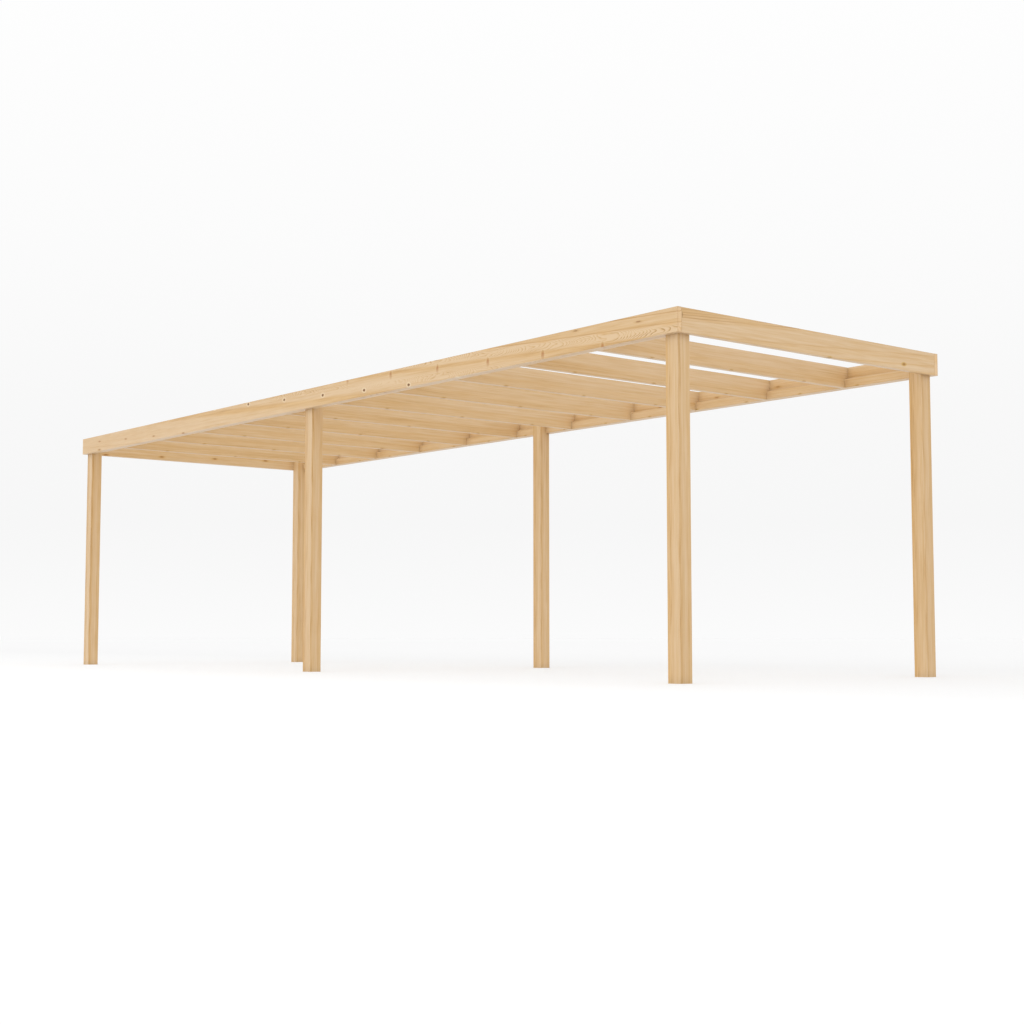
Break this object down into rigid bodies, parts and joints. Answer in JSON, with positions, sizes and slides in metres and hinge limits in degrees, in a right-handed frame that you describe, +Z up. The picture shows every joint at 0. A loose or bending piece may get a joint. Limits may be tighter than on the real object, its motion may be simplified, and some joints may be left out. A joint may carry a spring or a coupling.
{
  "type": "freestanding pergola",
  "caption": "Long flat-topped open timber pergola on square posts, with a fascia all round and plain rafters across.",
  "frame": {"origin": "on the ground at the middle of the plan", "axes": "+X along the long side, +Y from front to back, +Z up"},
  "size_m": [9.75, 3, 2.625],
  "materials": {
    "post_timber": "planed pale softwood, satin",
    "board_timber": "planed pale softwood, satin"
  },
  "bodies": {
    "root": {"front_left_post": "post_timber", "front_middle_post": "post_timber", "front_right_post": "post_timber", "back_left_post": "post_timber", "back_middle_post": "post_timber", "back_right_post": "post_timber", "front_fascia": "board_timber", "back_fascia": "board_timber", "left_end_fascia": "board_timber", "right_end_fascia": "board_timber", "front_left_ledger": "board_timber", "front_right_ledger": "board_timber", "back_left_ledger": "board_timber", "back_right_ledger": "board_timber", "rafter_01": "board_timber", "rafter_02": "board_timber", "rafter_03": "board_timber", "rafter_04": "board_timber", "rafter_05": "board_timber", "rafter_06": "board_timber", "rafter_07": "board_timber", "rafter_08": "board_timber", "rafter_09": "board_timber", "rafter_10": "board_timber"}
  },
  "joints": []
}
